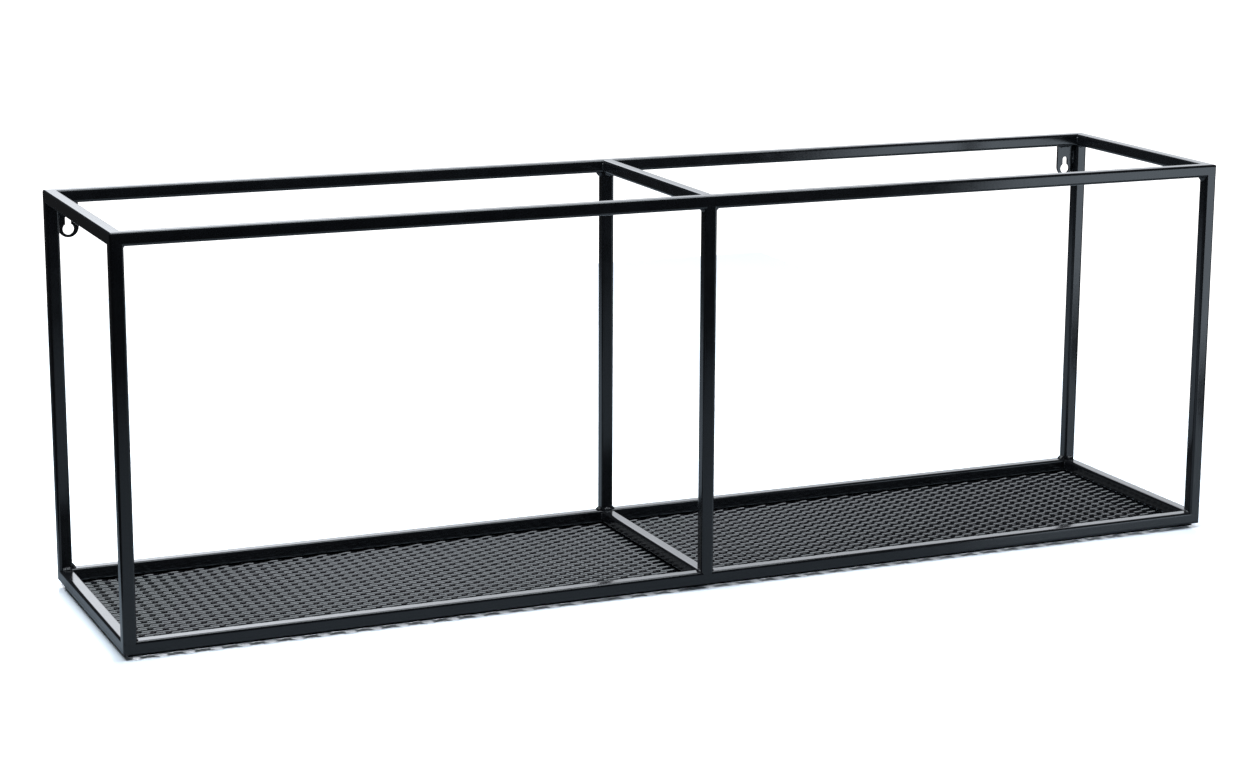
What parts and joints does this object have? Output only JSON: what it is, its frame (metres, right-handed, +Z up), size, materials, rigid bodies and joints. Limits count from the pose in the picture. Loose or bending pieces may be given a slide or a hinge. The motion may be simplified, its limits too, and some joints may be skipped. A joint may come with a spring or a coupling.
{
  "type": "wall shelf",
  "caption": "Open box-frame wall shelf of welded black square tube, divided into equal bays, with a raised expanded-metal floor and keyhole hanger plates.",
  "frame": {"origin": "middle of the shelf's footprint, level with the lowest strands of the floor", "axes": "+X along the shelf to the right as seen from the front, +Y towards the wall, +Z up"},
  "size_m": [0.9, 0.205, 0.3031],
  "materials": {
    "black_tube": "glossy powder coat",
    "black_plate": "glossy powder coat",
    "black_sheet": "glossy powder coat",
    "black_weld": "glossy powder coat over rough weld"
  },
  "bodies": {
    "root": {"top_front_rail": "black_tube", "top_back_rail": "black_tube", "top_left_rail": "black_tube", "top_right_rail": "black_tube", "top_middle_rail": "black_tube", "bottom_front_rail": "black_tube", "bottom_back_rail": "black_tube", "bottom_left_rail": "black_tube", "bottom_right_rail": "black_tube", "bottom_middle_rail": "black_tube", "front_left_post": "black_tube", "front_middle_post": "black_tube", "front_right_post": "black_tube", "back_left_post": "black_tube", "back_middle_post": "black_tube", "back_right_post": "black_tube", "left_floor_sheet": "black_sheet", "right_floor_sheet": "black_sheet", "left_hanger": "black_plate", "right_hanger": "black_plate", "post_head_welds": "black_weld", "post_foot_welds": "black_weld", "top_ring_welds": "black_weld", "bottom_ring_welds": "black_weld", "hanger_welds": "black_weld"}
  },
  "joints": []
}
